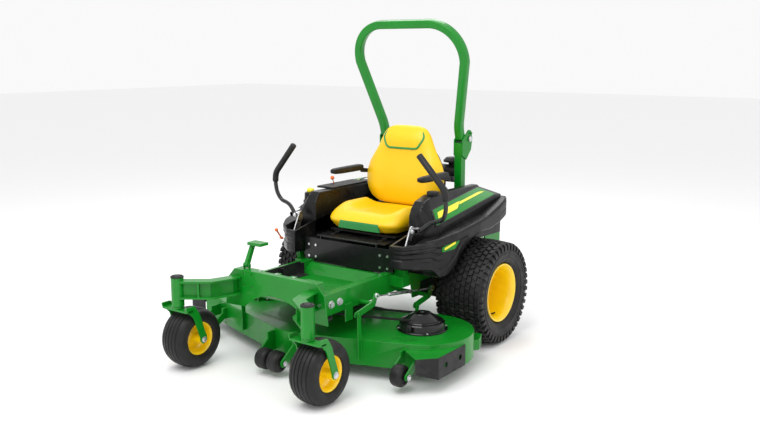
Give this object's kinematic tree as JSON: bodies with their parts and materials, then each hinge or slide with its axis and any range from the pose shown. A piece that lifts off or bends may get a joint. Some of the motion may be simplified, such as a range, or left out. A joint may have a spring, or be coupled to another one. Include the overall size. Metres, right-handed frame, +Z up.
{
  "type": "zero turn mower",
  "caption": "Ride-on zero-turn mower with mid-mounted side-discharge deck, caster front wheels, twin steering levers, yellow seat and folding roll hoop.",
  "frame": {"origin": "on the ground, under the middle of the machine's box with the chute down", "axes": "+X to the operator's left, the machine faces -Y, +Z up"},
  "size_m": [1.85, 2.09, 1.89],
  "materials": {
    "green_paint": "gloss",
    "rim_yellow": "gloss",
    "black_paint": "semi-gloss",
    "pod_plastic": "satin moulded",
    "trim_plastic": "satin moulded",
    "gloss_black": "gloss",
    "zinc": "zinc plated",
    "blade_steel": "ground steel",
    "cast_alloy": "cast",
    "exhaust_steel": "heat stained",
    "tread_rubber": "moulded tread",
    "belt_rubber": "matt",
    "grip_rubber": "soft matt",
    "seat_vinyl": "smooth vinyl",
    "signal_orange": "gloss",
    "signal_yellow": "gloss"
  },
  "bodies": {
    "chassis": {"main_frame": "green_paint", "front_crossmember": "green_paint", "caster_arms": "green_paint", "floor_pan": "green_paint", "footwell_liner": "trim_plastic", "seat_box": "black_paint", "fasteners": "zinc", "console_left": "pod_plastic", "console_right": "pod_plastic", "fuel_tank_left": "pod_plastic", "fuel_tank_right": "pod_plastic", "control_panel": "trim_plastic", "engine": "black_paint", "air_cleaner": "trim_plastic", "muffler": "exhaust_steel", "engine_guard": "green_paint", "hydro_drives": "cast_alloy", "battery": "trim_plastic", "rops_posts": "green_paint"},
    "roll_hoop": {"rops_hoop": "green_paint"},
    "drive_wheel_left": {"drive_tyre_left": "tread_rubber", "drive_rim_left": "rim_yellow"},
    "drive_wheel_right": {"drive_tyre_right": "tread_rubber", "drive_rim_right": "rim_yellow"},
    "fork_left": {"fork_left": "green_paint"},
    "fork_right": {"fork_right": "green_paint"},
    "caster_wheel_left": {"caster_tyre_left": "tread_rubber", "caster_rim_left": "rim_yellow"},
    "caster_wheel_right": {"caster_tyre_right": "tread_rubber", "caster_rim_right": "rim_yellow"},
    "lever_base_left": {"lever_base_left": "zinc"},
    "lever_base_right": {"lever_base_right": "zinc"},
    "lever_left": {"lever_left": "grip_rubber"},
    "lever_right": {"lever_right": "grip_rubber"},
    "seat_platform": {"seat_platform": "black_paint"},
    "seat": {"seat_pan": "trim_plastic", "seat_cushion": "seat_vinyl", "seat_back": "seat_vinyl"},
    "armrest_left": {"armrest_left": "trim_plastic"},
    "armrest_right": {"armrest_right": "trim_plastic"},
    "deck": {"deck_shell": "green_paint", "deck_bumper": "black_paint", "pulley_covers": "gloss_black", "spindle_housings": "cast_alloy", "deck_belt": "belt_rubber"},
    "blade_left": {"blade_left": "blade_steel"},
    "blade_middle": {"blade_middle": "blade_steel"},
    "blade_right": {"blade_right": "blade_steel"},
    "scalp_wheel_left": {"scalp_wheel_left": "gloss_black"},
    "scalp_wheel_right": {"scalp_wheel_right": "gloss_black"},
    "front_rollers": {"front_rollers": "gloss_black"},
    "chute": {"discharge_chute": "trim_plastic"},
    "pedal": {"lift_pedal": "green_paint"},
    "front_rockshaft": {"front_rockshaft": "green_paint"},
    "rear_rockshaft": {"rear_rockshaft": "green_paint"},
    "lift_links": {"lift_links": "zinc"},
    "throttle": {"throttle_lever": "signal_orange"},
    "brake": {"brake_lever": "signal_orange"},
    "pto_knob": {"pto_knob": "signal_yellow"},
    "fuel_cap": {"fuel_cap": "trim_plastic"}
  },
  "joints": [
    {"name": "drive_wheel_left_spin", "type": "hinge", "parent": "chassis", "child": "drive_wheel_left", "pos_m": [0.672, 0.445, 0.305], "axis": [1, 0, 0], "continuous": true},
    {"name": "caster_left_swivel", "type": "hinge", "parent": "chassis", "child": "fork_left", "pos_m": [0.515, -0.965, 0.4], "axis": [0, 0, 1], "continuous": true},
    {"name": "caster_left_roll", "type": "hinge", "parent": "fork_left", "child": "caster_wheel_left", "pos_m": [0.515, -0.88, 0.165], "axis": [1, 0, 0], "continuous": true},
    {"name": "lever_left_drive", "type": "hinge", "parent": "chassis", "child": "lever_base_left", "pos_m": [0.464, -0.075, 0.59], "axis": [1, 0, 0], "range_deg": [-14, 20], "stiffness_Nm_per_rad": 60},
    {"name": "lever_left_swing", "type": "hinge", "parent": "lever_base_left", "child": "lever_left", "pos_m": [0.49, -0.013, 0.716], "axis": [0, -1, 0], "range_deg": [0, 34]},
    {"name": "armrest_left_fold", "type": "hinge", "parent": "seat", "child": "armrest_left", "pos_m": [0.36, 0.591, 0.926], "axis": [-1, 0, 0], "range_deg": [0, 80]},
    {"name": "drive_wheel_right_spin", "type": "hinge", "parent": "chassis", "child": "drive_wheel_right", "pos_m": [-0.552, 0.445, 0.305], "axis": [1, 0, 0], "continuous": true},
    {"name": "caster_right_swivel", "type": "hinge", "parent": "chassis", "child": "fork_right", "pos_m": [-0.395, -0.965, 0.4], "axis": [0, 0, 1], "continuous": true},
    {"name": "caster_right_roll", "type": "hinge", "parent": "fork_right", "child": "caster_wheel_right", "pos_m": [-0.395, -0.88, 0.165], "axis": [1, 0, 0], "continuous": true},
    {"name": "lever_right_drive", "type": "hinge", "parent": "chassis", "child": "lever_base_right", "pos_m": [-0.344, -0.075, 0.59], "axis": [1, 0, 0], "range_deg": [-14, 20], "stiffness_Nm_per_rad": 60},
    {"name": "lever_right_swing", "type": "hinge", "parent": "lever_base_right", "child": "lever_right", "pos_m": [-0.37, -0.013, 0.716], "axis": [0, 1, 0], "range_deg": [0, 34]},
    {"name": "armrest_right_fold", "type": "hinge", "parent": "seat", "child": "armrest_right", "pos_m": [-0.24, 0.591, 0.926], "axis": [-1, 0, 0], "range_deg": [0, 80]},
    {"name": "roll_hoop_fold", "type": "hinge", "parent": "chassis", "child": "roll_hoop", "pos_m": [0.06, 0.762, 1.158], "axis": [-1, 0, 0], "range_deg": [0, 130]},
    {"name": "seat_tilt", "type": "hinge", "parent": "chassis", "child": "seat_platform", "pos_m": [0.06, -0.065, 0.616], "axis": [1, 0, 0], "range_deg": [0, 55]},
    {"name": "seat_slide", "type": "slide", "parent": "seat_platform", "child": "seat", "axis": [0, 1, 0], "range_m": [-0.1, 0.025]},
    {"name": "deck_lift", "type": "slide", "parent": "chassis", "child": "deck", "axis": [0, 0, 1], "range_m": [0, 0.06]},
    {"name": "front_rockshaft_turn", "type": "hinge", "parent": "chassis", "child": "front_rockshaft", "pos_m": [0.06, -0.37, 0.374], "axis": [-1, 0, 0], "range_deg": [0, 23.12]},
    {"name": "lift_links_turn", "type": "hinge", "parent": "front_rockshaft", "child": "lift_links", "pos_m": [0.06, -0.35, 0.414], "axis": [1, 0, 0], "range_deg": [0, 23.12]},
    {"name": "rear_rockshaft_turn", "type": "hinge", "parent": "chassis", "child": "rear_rockshaft", "pos_m": [0.06, 0.18, 0.296], "axis": [-1, 0, 0], "range_deg": [0, 23.12]},
    {"name": "lift_pedal_push", "type": "hinge", "parent": "chassis", "child": "pedal", "pos_m": [-0.174, -0.663, 0.556], "axis": [1, 0, 0], "range_deg": [0, 35]},
    {"name": "blade_left_spin", "type": "hinge", "parent": "deck", "child": "blade_left", "pos_m": [0.635, -0.155, 0.15], "axis": [0, 0, 1], "continuous": true},
    {"name": "blade_middle_spin", "type": "hinge", "parent": "deck", "child": "blade_middle", "pos_m": [0.06, -0.345, 0.15], "axis": [0, 0, 1], "continuous": true},
    {"name": "blade_right_spin", "type": "hinge", "parent": "deck", "child": "blade_right", "pos_m": [-0.515, -0.155, 0.15], "axis": [0, 0, 1], "continuous": true},
    {"name": "scalp_wheel_left_spin", "type": "hinge", "parent": "deck", "child": "scalp_wheel_left", "pos_m": [0.752, -0.54, 0.09], "axis": [1, 0, 0], "continuous": true},
    {"name": "scalp_wheel_right_spin", "type": "hinge", "parent": "deck", "child": "scalp_wheel_right", "pos_m": [-0.632, -0.54, 0.09], "axis": [1, 0, 0], "continuous": true},
    {"name": "front_rollers_spin", "type": "hinge", "parent": "deck", "child": "front_rollers", "pos_m": [0.06, -0.74, 0.085], "axis": [1, 0, 0], "continuous": true},
    {"name": "chute_lift", "type": "hinge", "parent": "deck", "child": "chute", "pos_m": [-0.787, -0.255, 0.229], "axis": [0, 1, 0], "range_deg": [0, 80]},
    {"name": "throttle_move", "type": "hinge", "parent": "chassis", "child": "throttle", "pos_m": [-0.395, 0.37, 0.852], "axis": [1, 0, 0], "range_deg": [-25, 25]},
    {"name": "brake_move", "type": "hinge", "parent": "chassis", "child": "brake", "pos_m": [-0.44, -0.091, 0.572], "axis": [1, 0, 0], "range_deg": [0, 30]},
    {"name": "pto_pull", "type": "slide", "parent": "chassis", "child": "pto_knob", "axis": [0, 0, 1], "range_m": [0, 0.008]},
    {"name": "fuel_cap_turn", "type": "hinge", "parent": "chassis", "child": "fuel_cap", "pos_m": [0.458, 0.217, 0.884], "axis": [0, 0, 1], "continuous": true}
  ],
  "couplings": [
    {"joint": "front_rockshaft_turn", "follows": "deck_lift", "rad_per_m": 6.7119},
    {"joint": "rear_rockshaft_turn", "follows": "deck_lift", "rad_per_m": 6.7119},
    {"joint": "lift_links_turn", "follows": "deck_lift", "rad_per_m": 6.7119},
    {"joint": "lift_pedal_push", "follows": "deck_lift", "rad_per_m": 10.036},
    {"joint": "blade_left_spin", "follows": "blade_middle_spin", "ratio": 1},
    {"joint": "blade_right_spin", "follows": "blade_middle_spin", "ratio": 1}
  ]
}
